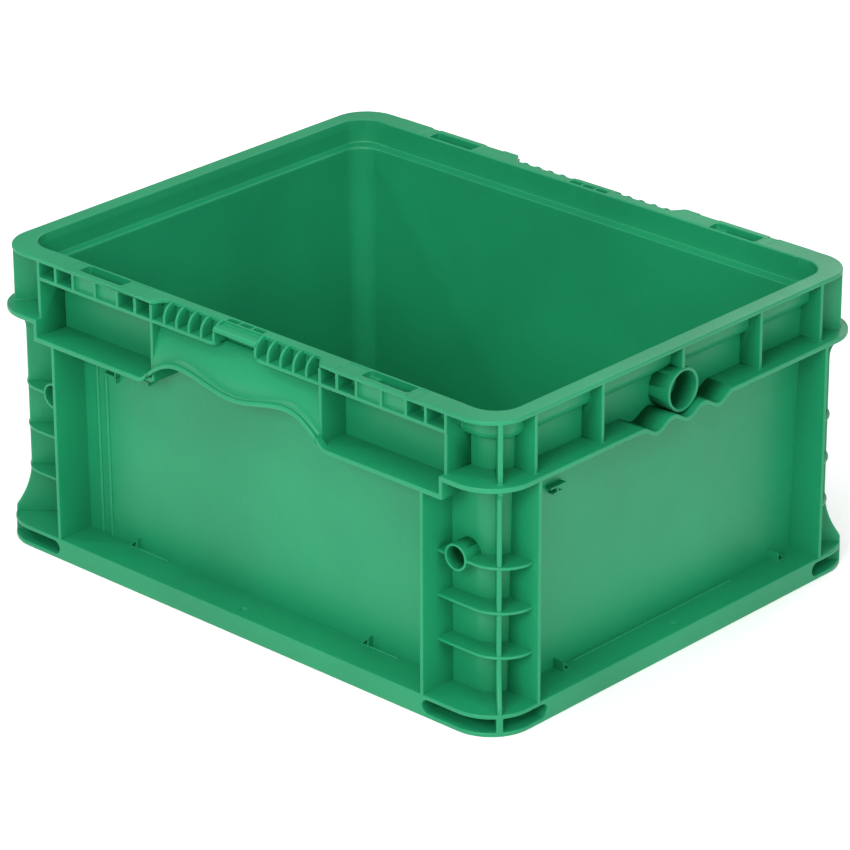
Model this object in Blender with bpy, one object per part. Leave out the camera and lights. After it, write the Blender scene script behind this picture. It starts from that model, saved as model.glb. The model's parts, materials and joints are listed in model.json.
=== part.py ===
"""Stacking plastic crate, modelled as the named regions of its one-piece moulding.

Frame: metres, +Z up.  The crate stands on z = 0 with its centre over the origin.
X runs along the two long sides, which carry the hand-holds ("front" is -Y and
"back" is +Y).  Y runs along the two short sides, which carry the large ring
bosses ("left" is -X and "right" is +X).  The crate is symmetric about both
vertical planes, so every sub-part is built once at +X, +Y and then mirrored.
"""

import math

import bmesh
import bpy
from mathutils import Matrix, Vector

# ---------------------------------------------------------------- driving sizes
LENGTH = 0.381          # outside length, at the shoulder and base flanges
WIDTH = 0.305           # outside width, at the shoulder and base flanges
HEIGHT = 0.178          # outside height
GAP = 0.0003            # clearance between regions that touch

OUT_X = LENGTH / 2
OUT_Y = WIDTH / 2
RIM_INSET = 0.004       # the rim stands this far inside the two lower flanges
RIM_X = OUT_X - RIM_INSET
RIM_Y = OUT_Y - RIM_INSET
RIM_RADIUS = 0.022
FLANGE_RADIUS = 0.026

WALL = 0.0026           # wall of the tub
TUB_X = 0.1726          # outer half length of the tub at its top edge
TUB_Y = 0.1300          # outer half width of the tub at its top edge
TUB_RADIUS = 0.0146
TUB_FOOT_X = 0.1693     # outer half length of the tub at the floor
TUB_FOOT_Y = 0.1286
FLOOR_Z = 0.0030        # underside of the floor
FLOOR_TOP = 0.0060
TUB_TOP = 0.1607        # top edge of the tub walls

RECESS_X = 0.1755       # inside half length of the stepped mouth above the ledge
RECESS_Y = 0.1345
RECESS_RADIUS = 0.0140
RECESS_WALL = 0.0025
LEDGE_TOP = 0.1635
LEDGE_BOTTOM = 0.1610
PLATE = 0.0025          # thickness of the rim's top plate

CELL_FLOOR = 0.1648     # underside of the cell row
CELL_FLOOR_THICK = 0.0022
CELL_RIB = 0.0020
CELL_RIBS_X = (0.0632, 0.0756, 0.0895, 0.1070, 0.1244, 0.1383, 0.1522)
SLOT_X = (0.0905, 0.1310)
SLOT_Y = (0.1370, 0.1450)
SLOT_OUTER_Y = 0.1470   # outer face of the wall that closes the slot
CELL_BACK_Y = 0.1375    # back of the open cells
GRIP_EDGE_Y = 0.1410    # the rim plate steps in to here over the hand-hold
GRIP_FIRST_FIN = 0.0146
GRIP_FIN_PITCH = 0.0094
GRIP_FINS = 5
CENTRE_PLATE_DROP = 0.0020

SHELF_TOP = 0.1322      # shelf of the deep pockets beside each hand-hold
SHOULDER_TOP = 0.1425   # shoulder flange
SHOULDER_THICK = 0.0030
SHOULDER_STEP_X = 0.1533
SCOOP_RIB_X = 0.0632
SCOOP_FOOT_Z = 0.1375   # the hand-hold's face leans in from here ...
SCOOP_HEAD_Z = 0.1680   # ... to here, where it would be SCOOP_DEPTH inside the rim
SCOOP_DEPTH = 0.0112
SCOOP_POWER = 2.2
SCOOP_STEPS = 6
SCOOP_SHEET = 0.0025
RIB = 0.0022

END_RIB_Y = (0.0647, 0.1167)
SCALLOP_PITCH = 0.0252
SCALLOP_DEPTH = 0.0050
SCALLOPS = 3
RING_Z = 0.1515
RING_OUTER = 0.0125
RING_INNER = 0.0106

POST_RIB_X = 0.1387     # post rib on the long side
POST_RIB_Y = 0.1175     # post rib on the short side
POST_EDGE_X = 0.1865    # outline that the post's shelves and fin follow
POST_EDGE_Y = 0.1410
POST_RADIUS = 0.0210
POST_SHELF_Z = (0.0925, 0.0668, 0.0411)
POST_SHELF_THICK = 0.0020
SMALL_RING_X = 0.1522
SMALL_RING_OUTER = 0.0077
SMALL_RING_INNER = 0.0063

BASE_TOP = 0.0128       # top of the base flange
BASE_SKIN = 0.0025
BASE_END_X = 0.1390     # where the closed base flange stops and the open corner starts
BASE_END_Y = 0.1110
FIN_THICK = 0.0028

ARC_STEPS = 5           # segments in each quarter turn
RING_STEPS = 24
PART_NAME = "stacking_crate"
GREEN = (0.030, 0.300, 0.145, 1.0)

FRONT_BACK = (("front", 1, -1), ("back", 1, 1))
LEFT_RIGHT = (("left", -1, 1), ("right", 1, 1))
CORNERS = (
    ("front_left", -1, -1),
    ("front_right", 1, -1),
    ("back_left", -1, 1),
    ("back_right", 1, 1),
)


# ---------------------------------------------------------------- scene helpers
def clear_scene():
    for old in list(bpy.data.objects):
        bpy.data.objects.remove(old, do_unlink=True)


def make_collection(name):
    collection = bpy.data.collections.new(name)
    bpy.context.scene.collection.children.link(collection)
    return collection


def plastic(name):
    material = bpy.data.materials.new(name + "_plastic")
    material.use_nodes = True
    shader = material.node_tree.nodes["Principled BSDF"]
    shader.inputs["Base Color"].default_value = GREEN
    shader.inputs["Roughness"].default_value = 0.38
    shader.inputs["Metallic"].default_value = 0.0
    return material


def add_object(name, mesh, collection):
    thing = bpy.data.objects.new(name, mesh)
    collection.objects.link(thing)
    return thing


def box(low, high):
    """A working solid between two opposite corners."""
    low = Vector(low)
    high = Vector(high)
    shape = bmesh.new()
    size = high - low
    placed = Matrix.Translation((low + high) / 2) @ Matrix.Diagonal((*size, 1.0))
    bmesh.ops.create_cube(shape, size=1.0, matrix=placed)
    return finish_bmesh(shape)


def tube_solid(radius, length, matrix):
    """A working cylinder along its own Z, centred on the matrix."""
    shape = bmesh.new()
    bmesh.ops.create_cone(
        shape, cap_ends=True, segments=RING_STEPS, radius1=radius, radius2=radius,
        depth=length, matrix=matrix,
    )
    return finish_bmesh(shape)


def finish_bmesh(shape):
    mesh = bpy.data.meshes.new("work")
    shape.to_mesh(mesh)
    shape.free()
    return add_object("work", mesh, WORK)


def prism(points, low, high, turn=None):
    """A flat outline extruded from low to high along Z, then turned by a matrix."""
    curve = bpy.data.curves.new("outline", "CURVE")
    curve.dimensions = "2D"
    curve.fill_mode = "BOTH"
    curve.extrude = (high - low) / 2
    spline = curve.splines.new("POLY")
    spline.points.add(len(points) - 1)
    for slot, (x, y) in zip(spline.points, points):
        slot.co = (x, y, 0.0, 1.0)
    spline.use_cyclic_u = True
    outline = bpy.data.objects.new("outline", curve)
    outline.location.z = (low + high) / 2
    WORK.objects.link(outline)
    bpy.context.view_layer.update()
    depsgraph = bpy.context.evaluated_depsgraph_get()
    mesh = bpy.data.meshes.new_from_object(outline.evaluated_get(depsgraph))
    mesh.transform(outline.matrix_world)
    bpy.data.objects.remove(outline)
    shape = bmesh.new()
    shape.from_mesh(mesh)
    bmesh.ops.remove_doubles(shape, verts=shape.verts, dist=0.00001)
    bmesh.ops.recalc_face_normals(shape, faces=shape.faces)
    if turn is not None:
        bmesh.ops.transform(shape, matrix=turn, verts=shape.verts)
        if turn.determinant() < 0:
            bmesh.ops.reverse_faces(shape, faces=shape.faces)
    bpy.data.meshes.remove(mesh)
    return finish_bmesh(shape)


def combine(target, tool, operation):
    """Boolean the tool into the target, keep the result and drop the tool."""
    cut = target.modifiers.new(operation.title(), "BOOLEAN")
    cut.operation = operation
    cut.solver = "EXACT"
    cut.object = tool
    bpy.context.view_layer.update()
    depsgraph = bpy.context.evaluated_depsgraph_get()
    result = bpy.data.meshes.new_from_object(target.evaluated_get(depsgraph))
    target.modifiers.remove(cut)
    target.data = result
    bpy.data.objects.remove(tool)
    return target


def union(first, *others):
    for other in others:
        combine(first, other, "UNION")
    return first


def subtract(first, *others):
    for other in others:
        combine(first, other, "DIFFERENCE")
    return first


def keep(first, other):
    return combine(first, other, "INTERSECT")


# XZ and YZ outlines: the prism's Z becomes Y or X.
ALONG_Y = Matrix(((1, 0, 0, 0), (0, 0, 1, 0), (0, 1, 0, 0), (0, 0, 0, 1)))
ALONG_X = Matrix(((0, 0, 1, 0), (1, 0, 0, 0), (0, 1, 0, 0), (0, 0, 0, 1)))


# ---------------------------------------------------------------- outlines
def arc(centre, radius, start, end, steps=ARC_STEPS):
    """Points of an arc, angles in degrees, both ends included."""
    angles = [math.radians(start + (end - start) * i / steps) for i in range(steps + 1)]
    return [(centre[0] + radius * math.cos(a), centre[1] + radius * math.sin(a)) for a in angles]


def rounded_rectangle(half_x, half_y, radius):
    points = []
    for turn, (sx, sy) in enumerate(((1, 1), (-1, 1), (-1, -1), (1, -1))):
        centre = (sx * (half_x - radius), sy * (half_y - radius))
        points += arc(centre, radius, 90 * turn, 90 * turn + 90)
    return points


def tub_taper(z):
    """How much smaller the tub is at height z than at its top edge, in X and Y."""
    share = (TUB_TOP - z) / (TUB_TOP - FLOOR_TOP)
    ratio_x = 1 - share * (1 - TUB_FOOT_X / TUB_X)
    ratio_y = 1 - share * (1 - TUB_FOOT_Y / TUB_Y)
    return ratio_x, ratio_y


def taper(solid):
    """Lean a solid that was drawn upright in with the draft of the tub walls."""
    for vertex in solid.data.vertices:
        ratio_x, ratio_y = tub_taper(vertex.co.z)
        vertex.co.x *= ratio_x
        vertex.co.y *= ratio_y
    return solid


def tub_envelope():
    """The space that the tub takes up, with clearance."""
    outline = rounded_rectangle(TUB_X + GAP, TUB_Y + GAP, TUB_RADIUS + GAP)
    return taper(prism(outline, -0.001, LEDGE_BOTTOM))


def mouth_envelope():
    """The space that the stepped mouth of the rim takes up, with clearance."""
    wall = RECESS_WALL + GAP
    outline = rounded_rectangle(RECESS_X + wall, RECESS_Y + wall, RECESS_RADIUS + wall)
    return prism(outline, LEDGE_BOTTOM - GAP, HEIGHT + 0.001)


def trim_to_tub(solid):
    subtract(solid, tub_envelope())
    return subtract(solid, mouth_envelope())


# ---------------------------------------------------------------- publishing
def publish(solid, name, flip_x, flip_y):
    """Add a mirrored copy of a working solid as a named node."""
    mesh = solid.data.copy()
    mesh.transform(Matrix.Diagonal((flip_x, flip_y, 1, 1)))
    if flip_x * flip_y < 0:
        mesh.flip_normals()
    mesh.name = name
    mesh.materials.clear()
    mesh.materials.append(plastic(name))
    node = add_object(name, mesh, PART)
    mesh.shade_smooth()
    mesh.set_sharp_from_angle(angle=math.radians(30))
    return node


def publish_set(solid, name, places):
    for place, flip_x, flip_y in places:
        publish(solid, name + "_" + place, flip_x, flip_y)
    bpy.data.objects.remove(solid)


# ---------------------------------------------------------------- tub
def make_floor():
    outline = rounded_rectangle(TUB_X, TUB_Y, TUB_RADIUS)
    floor = taper(prism(outline, FLOOR_Z, FLOOR_TOP))
    publish(floor, "floor_pan", 1, 1)
    bpy.data.objects.remove(floor)


def make_walls():
    low = FLOOR_TOP + GAP
    corner_x = TUB_X - TUB_RADIUS
    corner_y = TUB_Y - TUB_RADIUS
    long_wall = taper(box((-corner_x, TUB_Y - WALL, low), (corner_x, TUB_Y, TUB_TOP)))
    publish_set(long_wall, "side_wall", FRONT_BACK)
    end_wall = taper(box((TUB_X - WALL, -corner_y, low), (TUB_X, corner_y, TUB_TOP)))
    publish_set(end_wall, "end_wall", LEFT_RIGHT)
    centre = (corner_x + GAP, corner_y + GAP)
    radius = TUB_RADIUS - GAP
    outline = arc(centre, radius, 0, 90) + arc(centre, radius - WALL, 90, 0)
    publish_set(taper(prism(outline, low, TUB_TOP)), "corner_wall", CORNERS)


# ---------------------------------------------------------------- base flange
def make_base():
    skin = BASE_SKIN
    side = [
        (0.120, BASE_TOP - skin), (OUT_Y - skin, BASE_TOP - skin), (OUT_Y - skin, 0.0),
        (OUT_Y, 0.0), (OUT_Y, BASE_TOP), (0.120, BASE_TOP),
    ]
    long_flange = prism(side, -BASE_END_X, BASE_END_X, ALONG_X)
    publish_set(subtract(long_flange, tub_envelope()), "base_flange", FRONT_BACK)
    side = [(x + OUT_X - OUT_Y, z) for x, z in side]
    end_flange = prism(side, -BASE_END_Y, BASE_END_Y, ALONG_Y)
    publish_set(subtract(end_flange, tub_envelope()), "base_flange", LEFT_RIGHT)


def make_base_corner():
    """Two skins with open slots between them, joined by a web under the corner fin."""
    low_x = BASE_END_X + GAP
    low_y = BASE_END_Y + GAP
    centre = (OUT_X - FLANGE_RADIUS, OUT_Y - FLANGE_RADIUS)
    outline = [(OUT_X, low_y)] + arc(centre, FLANGE_RADIUS, 0, 90) + [(low_x, OUT_Y), (low_x, low_y)]
    corner = prism(outline, 0.0, BASE_TOP)
    slot = prism(outline_around(outline, low_x, low_y), BASE_SKIN, BASE_TOP - BASE_SKIN)
    web = diagonal_web(FIN_THICK + 0.001, BASE_SKIN - 0.0005, BASE_TOP - BASE_SKIN + 0.0005)
    subtract(slot, web)
    subtract(corner, slot)
    publish_set(subtract(corner, tub_envelope()), "base_corner", CORNERS)


def outline_around(outline, low_x, low_y):
    """The same corner outline, pushed out past every edge so that it cuts clean."""
    extra = 0.002
    grown = []
    for x, y in outline:
        grow_x = -extra if x <= low_x + 1e-6 else extra
        grow_y = -extra if y <= low_y + 1e-6 else extra
        grown.append((x + grow_x, y + grow_y))
    return grown


def diagonal_web(thickness, low, high, reach=0.060):
    """An upright slab on the corner's diagonal, from inside the tub outwards."""
    slab = box((0.0, -thickness / 2, low), (reach, thickness / 2, high))
    start = Vector((TUB_X - TUB_RADIUS, TUB_Y - TUB_RADIUS, 0))
    turn = Matrix.Translation(start) @ Matrix.Rotation(math.radians(45), 4, "Z")
    slab.data.transform(turn)
    return slab


# ---------------------------------------------------------------- corner post
def post_outline(grow=0.0):
    """Plan outline of the post's shelves: between its two ribs and round the corner."""
    centre = (POST_EDGE_X - POST_RADIUS, POST_EDGE_Y - POST_RADIUS)
    bend = arc(centre, POST_RADIUS + grow, 0, 90)
    low_x = POST_RIB_X
    low_y = POST_RIB_Y
    return [(POST_EDGE_X + grow, low_y)] + bend + [(low_x, POST_EDGE_Y + grow), (low_x, low_y)]


def corner_fin_outline(low, high):
    """Side view of the diagonal fin: it flares out into the flanges above and below."""
    slim = 0.0255
    wide = 0.0345
    flare_low = low + 0.032
    flare_high = high - 0.018
    points = [(0.0, low), (wide, low), (wide, low + 0.004), (slim, flare_low)]
    points += [(slim, flare_high)]
    points += arc((slim + 0.012, flare_high), 0.012, 180, 120, 3)[1:]
    points += [(wide - 0.001, high), (0.0, high)]
    return points


def make_post():
    low = BASE_TOP + GAP
    high = SHOULDER_TOP - SHOULDER_THICK - GAP
    shelf_high = SHELF_TOP - SHOULDER_THICK - GAP
    half = RIB / 2
    side_rib = box((POST_RIB_X - half, 0.120, low), (POST_RIB_X + half, OUT_Y, shelf_high))
    end_rib = box((0.160, POST_RIB_Y - half, low), (OUT_X, POST_RIB_Y + half, high))
    fin = prism(corner_fin_outline(low, high), -FIN_THICK / 2, FIN_THICK / 2, ALONG_Y)
    start = Vector((TUB_X - TUB_RADIUS + 0.003, TUB_Y - TUB_RADIUS + 0.003, 0))
    fin.data.transform(Matrix.Translation(start) @ Matrix.Rotation(math.radians(45), 4, "Z"))
    post = fin
    for z in POST_SHELF_Z:
        thick = POST_SHELF_THICK / 2
        union(post, prism(post_outline(), z - thick, z + thick))
    union(post, side_rib, end_rib)
    subtract(post, small_ring(SMALL_RING_OUTER + GAP, 0.02))
    publish_set(trim_to_tub(post), "corner_post", CORNERS)
    ring = small_ring(SMALL_RING_OUTER, 0.0)
    subtract(ring, small_ring(SMALL_RING_INNER, 0.02))
    publish_set(subtract(ring, tub_envelope()), "post_ring", CORNERS)


def small_ring(radius, extra):
    """Solid of the post's small ring boss, along Y, open towards the long side."""
    low = 0.120 - extra
    high = POST_EDGE_Y + extra
    place = Matrix.Translation((SMALL_RING_X, (low + high) / 2, POST_SHELF_Z[0]))
    return tube_solid(radius, high - low, place @ Matrix.Rotation(math.radians(90), 4, "X"))


# ---------------------------------------------------------------- shoulder
def make_shoulder():
    """Corner of the shoulder flange with the fin that carries the rim."""
    low_x = SHOULDER_STEP_X + GAP
    low_y = END_RIB_Y[1] + RIB / 2 + GAP
    centre = (OUT_X - FLANGE_RADIUS, OUT_Y - FLANGE_RADIUS)
    outline = [(OUT_X, low_y)] + arc(centre, FLANGE_RADIUS, 0, 90) + [(low_x, OUT_Y), (low_x, low_y)]
    flange = prism(outline, SHOULDER_TOP - SHOULDER_THICK, SHOULDER_TOP)
    top = HEIGHT - PLATE - GAP
    base = SHOULDER_TOP - 0.001
    fin = diagonal_web(FIN_THICK, base, top)
    limit = rounded_rectangle(RIM_X, RIM_Y, RIM_RADIUS)
    keep(fin, prism(limit, base - 0.001, top + 0.001))
    union(flange, fin)
    publish_set(trim_to_tub(flange), "shoulder", CORNERS)


def scallop_drop(y):
    """Depth of the scalloped stretch of the end flange below its flat top."""
    if abs(y) >= SCALLOP_PITCH * SCALLOPS / 2:
        return 0.0
    return SCALLOP_DEPTH / 2 * (1 + math.cos(2 * math.pi * y / SCALLOP_PITCH))


def make_end_flange():
    """Scalloped flange of a short side with the ribs between it and the rim."""
    edge = END_RIB_Y[1] + RIB / 2
    steps = SCALLOPS * 8
    span = SCALLOP_PITCH * SCALLOPS
    wave = [-span / 2 + span * i / steps for i in range(steps + 1)]
    stations = [-edge] + wave + [edge]
    top_line = [(y, SHOULDER_TOP - scallop_drop(y)) for y in stations]
    low_line = [(y, z - SHOULDER_THICK) for y, z in reversed(top_line)]
    flange = prism(top_line + low_line, 0.160, OUT_X, ALONG_X)
    top = HEIGHT - PLATE - GAP
    base = SHOULDER_TOP - 0.001
    half = RIB / 2
    for rib_y in END_RIB_Y:
        for y in (-rib_y, rib_y):
            union(flange, box((0.160, y - half, base), (RIM_X, y + half, top)))
    publish_set(trim_to_tub(flange), "end_flange", LEFT_RIGHT)


def make_ring_boss():
    """Large ring boss of a short side with the short rib that ties it to the rim."""
    turn = Matrix.Rotation(math.radians(90), 4, "Y")
    middle = Matrix.Translation(((0.160 + RIM_X) / 2, 0, RING_Z))
    boss = tube_solid(RING_OUTER, RIM_X - 0.160, middle @ turn)
    top = HEIGHT - PLATE - GAP
    rib = box((0.160, -RIB / 2, RING_Z + RING_INNER + 0.0005), (RIM_X - 0.0005, RIB / 2, top))
    union(boss, rib)
    subtract(boss, tube_solid(RING_INNER, 0.08, middle @ turn))
    publish_set(trim_to_tub(boss), "ring_boss", LEFT_RIGHT)


# ---------------------------------------------------------------- rim
def rim_ring():
    """The whole rim section: top plate, stepped mouth and ledge."""
    wall = RECESS_WALL
    plate = prism(rounded_rectangle(RIM_X, RIM_Y, RIM_RADIUS), HEIGHT - PLATE, HEIGHT)
    mouth_outline = rounded_rectangle(RECESS_X + wall, RECESS_Y + wall, RECESS_RADIUS + wall)
    union(plate, prism(mouth_outline, LEDGE_BOTTOM, HEIGHT - PLATE / 2))
    mouth = rounded_rectangle(RECESS_X, RECESS_Y, RECESS_RADIUS)
    subtract(plate, prism(mouth, LEDGE_TOP, HEIGHT + 0.001))
    inside = rounded_rectangle(TUB_X - WALL, TUB_Y - WALL, TUB_RADIUS - WALL)
    return subtract(plate, prism(inside, LEDGE_BOTTOM - 0.001, LEDGE_TOP + 0.001))


RIM_SEAM_X = SHOULDER_STEP_X + 0.0010
RIM_SEAM_Y = END_RIB_Y[1] + RIB / 2


def make_plain_rims():
    far = 0.2
    corner = keep(rim_ring(), box((RIM_SEAM_X + GAP, RIM_SEAM_Y + GAP, 0.1), (far, far, far)))
    publish_set(corner, "rim_corner", CORNERS)
    end = keep(rim_ring(), box((0.16, -RIM_SEAM_Y, 0.1), (far, RIM_SEAM_Y, far)))
    publish_set(end, "rim", LEFT_RIGHT)


def mirrored_boxes(low, high):
    """The same box on both sides of the crate's middle, as two working solids."""
    other_low = (-high[0], low[1], low[2])
    other_high = (-low[0], high[1], high[2])
    return box(low, high), box(other_low, other_high)


def make_long_rims():
    """Rim of a long side: cell row, top slots and the cut-back over the hand-hold."""
    far = 0.2
    rim = keep(rim_ring(), box((-RIM_SEAM_X, 0.12, 0.1), (RIM_SEAM_X, far, far)))
    cell_top = CELL_FLOOR + CELL_FLOOR_THICK
    plate_low = HEIGHT - PLATE
    first = CELL_RIBS_X[0] - CELL_RIB / 2
    last = CELL_RIBS_X[-1] + CELL_RIB / 2
    row = box((-last, CELL_BACK_Y - 0.001, CELL_FLOOR), (last, RIM_Y, plate_low + 0.0005))
    union(rim, row)
    for left, right in zip(CELL_RIBS_X[:-1], CELL_RIBS_X[1:]):
        closed = SLOT_X[0] - 0.002 < left and right < SLOT_X[1]
        depth = SLOT_OUTER_Y if closed else CELL_BACK_Y
        low = (left + CELL_RIB / 2, depth, cell_top)
        high = (right - CELL_RIB / 2, RIM_Y + 0.001, plate_low)
        subtract(rim, *mirrored_boxes(low, high))
    low = (SLOT_X[0], SLOT_Y[0], cell_top)
    high = (CELL_RIBS_X[4] - CELL_RIB / 2, SLOT_Y[1], HEIGHT + 0.001)
    subtract(rim, *mirrored_boxes(low, high))
    hold = box((-first, CELL_BACK_Y, CELL_FLOOR - 0.001), (first, RIM_Y + 0.001, plate_low))
    subtract(rim, hold)
    over = box((-first, GRIP_EDGE_Y, plate_low - 0.001), (first, RIM_Y + 0.001, HEIGHT + 0.001))
    subtract(rim, over)
    top = HEIGHT - CENTRE_PLATE_DROP
    union(rim, box((-GRIP_FIRST_FIN, CELL_BACK_Y - 0.001, top - CELL_RIB), (GRIP_FIRST_FIN, RIM_Y, top)))
    publish_set(rim, "rim", FRONT_BACK)


# ---------------------------------------------------------------- hand-hold
def grip_fin_outline():
    """Side view (Y, Z) of one grip fin: rounded out from the rim edge to the grip's foot."""
    inner = CELL_BACK_Y + GAP
    top = HEIGHT - PLATE - GAP
    radius = RIM_Y - GRIP_EDGE_Y
    bend = arc((GRIP_EDGE_Y, top - radius), radius, 0, 90, 4)
    return [(inner, CELL_FLOOR), (RIM_Y, CELL_FLOOR)] + bend + [(inner, top)]


def make_grip():
    """Finger grip: a foot plate, a back plate and a row of rounded fins."""
    inner = CELL_BACK_Y + GAP
    start = GRIP_FIRST_FIN + GAP
    end = CELL_RIBS_X[0] - CELL_RIB / 2 - GAP
    grip = prism(grip_fin_outline(), start, end, ALONG_X)
    top = HEIGHT
    cell_top = CELL_FLOOR + CELL_FLOOR_THICK
    edges = [start + GRIP_FIN_PITCH * i for i in range(GRIP_FINS)]
    stops = edges[1:] + [end + 0.001]
    for left, right in zip(edges, stops):
        low = (left + CELL_RIB, inner + 0.002, cell_top)
        subtract(grip, box(low, (right, RIM_Y + 0.001, top)))
    publish_set(grip, "finger_grip", CORNERS)


def scoop_profile(offset):
    """Side view (Y, Z) of the hand-hold's rounded face, from its lip up to the rim."""
    top = CELL_FLOOR - GAP
    points = [(RIM_Y - offset, SHELF_TOP - SHOULDER_THICK)]
    for i in range(SCOOP_STEPS + 1):
        z = SCOOP_FOOT_Z + (top - SCOOP_FOOT_Z) * i / SCOOP_STEPS
        share = (z - SCOOP_FOOT_Z) / (SCOOP_HEAD_Z - SCOOP_FOOT_Z)
        points.append((RIM_Y - offset - SCOOP_DEPTH * share ** SCOOP_POWER, z))
    return points


def lip_height(x):
    """Height of the hand-hold's wavy lip: low in the middle, two humps, low at the ends."""
    share = abs(x) / SCOOP_RIB_X
    hump = 0.5 - 0.5 * math.cos(2 * math.pi * min(share / 1.30, 1.0))
    fall = max(0.0, share - 0.65) ** 2 * 0.055
    return 0.1400 + 0.0075 * hump - fall


def make_scoop():
    """Rounded face of the hand-hold, its wavy lip and the two ribs at its ends."""
    outline = scoop_profile(0.0) + list(reversed(scoop_profile(SCOOP_SHEET)))
    half = SCOOP_RIB_X + RIB / 2
    face = prism(outline, -half, half, ALONG_X)
    wave = [(-half - 0.001, 0.1), (half + 0.001, 0.1)]
    steps = 24
    for i in range(steps + 1):
        x = half + 0.001 - (2 * half + 0.002) * i / steps
        wave.append((x, lip_height(x) - 0.003))
    subtract(face, prism(wave, 0.10, 0.20, ALONG_Y))
    top = CELL_FLOOR - GAP
    union(face, box((-half, 0.1300, top - SCOOP_SHEET), (half, GRIP_EDGE_Y - 0.001, top)))
    foot = SHELF_TOP + GAP
    for side in (-1, 1):
        x = side * SCOOP_RIB_X
        union(face, box((x - RIB / 2, 0.120, foot), (x + RIB / 2, RIM_Y, top)))
    lip_outline = lip_strip(half)
    union(face, prism(lip_outline, 0.1440, OUT_Y, ALONG_Y))
    publish_set(trim_to_tub(face), "hand_hold", FRONT_BACK)


def lip_strip(half):
    steps = 24
    xs = [-half + 2 * half * i / steps for i in range(steps + 1)]
    upper = [(x, lip_height(x)) for x in xs]
    lower = [(x, lip_height(x) - 0.003) for x in reversed(xs)]
    return upper + lower


def make_pocket_shelf():
    """Shelf of the deep pocket beside a hand-hold, its step up to the shoulder and its end rib."""
    low = SHELF_TOP - SHOULDER_THICK
    start = SCOOP_RIB_X + RIB / 2 + GAP
    end = SHOULDER_STEP_X
    outline = [
        (start, low), (end, low), (end, SHOULDER_TOP), (end - RIB, SHOULDER_TOP),
        (end - RIB, SHELF_TOP), (start, SHELF_TOP),
    ]
    shelf = prism(outline, 0.120, OUT_Y, ALONG_Y)
    union(shelf, box((end - RIB, 0.120, SHELF_TOP - 0.001), (end, RIM_Y, CELL_FLOOR - GAP)))
    publish_set(trim_to_tub(shelf), "pocket_shelf", CORNERS)


clear_scene()
PART = make_collection(PART_NAME)
WORK = make_collection("cutters")
make_floor()
make_walls()
make_base()
make_base_corner()
make_post()
make_shoulder()
make_end_flange()
make_ring_boss()
make_plain_rims()
make_long_rims()
make_grip()
make_scoop()
make_pocket_shelf()
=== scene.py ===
"""Looks of the stacking plastic crate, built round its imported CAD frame.

The moulding is symmetric about both upright mid planes, so every region is built
once in the +X, +Y quarter, in millimetres, and mirrored to its named places.
"""

import json
import math

import bmesh
import bpy
from mathutils import Matrix, Quaternion, Vector

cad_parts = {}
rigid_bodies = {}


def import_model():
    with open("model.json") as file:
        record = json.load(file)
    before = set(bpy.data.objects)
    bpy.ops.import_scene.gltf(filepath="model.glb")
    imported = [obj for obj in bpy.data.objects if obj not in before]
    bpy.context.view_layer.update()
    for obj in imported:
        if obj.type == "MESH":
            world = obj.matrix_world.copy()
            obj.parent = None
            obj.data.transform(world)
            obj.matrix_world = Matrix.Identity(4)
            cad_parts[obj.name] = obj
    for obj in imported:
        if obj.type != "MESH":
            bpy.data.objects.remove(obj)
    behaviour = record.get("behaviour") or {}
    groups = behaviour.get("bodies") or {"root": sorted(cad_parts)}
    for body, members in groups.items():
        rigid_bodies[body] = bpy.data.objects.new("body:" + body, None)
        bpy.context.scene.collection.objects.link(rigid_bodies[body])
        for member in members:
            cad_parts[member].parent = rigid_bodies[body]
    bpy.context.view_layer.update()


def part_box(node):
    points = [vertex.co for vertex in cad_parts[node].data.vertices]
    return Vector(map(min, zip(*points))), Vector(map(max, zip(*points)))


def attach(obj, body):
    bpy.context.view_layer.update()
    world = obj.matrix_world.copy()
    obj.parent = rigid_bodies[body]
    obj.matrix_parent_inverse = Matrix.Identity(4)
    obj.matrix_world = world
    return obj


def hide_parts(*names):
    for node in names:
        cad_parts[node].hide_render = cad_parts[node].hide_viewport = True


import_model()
MM = 1000.0


def cad(node, side, axis):
    """One coordinate of a CAD node's box in millimetres; side 0 is low and 1 is high."""
    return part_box(node)[side][axis] * MM


# ---------------------------------------------------------------- sizes, mm
OUT_X = cad("base_corner_back_right", 1, 0)
OUT_Y = cad("base_corner_back_right", 1, 1)
BASE_TOP = cad("base_corner_back_right", 1, 2)
RIM_X = cad("rim_corner_back_right", 1, 0)
RIM_Y = cad("rim_corner_back_right", 1, 1)
TOP = cad("rim_corner_back_right", 1, 2)
TUB_X = cad("end_wall_right", 1, 0)
TUB_Y = cad("side_wall_back", 1, 1)
TUB_TOP = cad("end_wall_right", 1, 2)
FLOOR_LOW = cad("floor_pan", 0, 2)
FLOOR_TOP = cad("floor_pan", 1, 2)
SHELF_LOW = cad("pocket_shelf_back_right", 0, 2)
SHOULDER_LOW = cad("shoulder_back_right", 0, 2)
SHEET = 3.0
SHELF_TOP = SHELF_LOW + SHEET
SHOULDER_TOP = SHOULDER_LOW + SHEET
POST_EDGE_Y = cad("post_ring_back_right", 1, 1)
POST_EDGE_X = RIM_X
RING_Z = 151.5
SMALL_RING_Z = (cad("post_ring_back_right", 0, 2) + cad("post_ring_back_right", 1, 2)) / 2
SMALL_RING_X = (cad("post_ring_back_right", 0, 0) + cad("post_ring_back_right", 1, 0)) / 2

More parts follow.
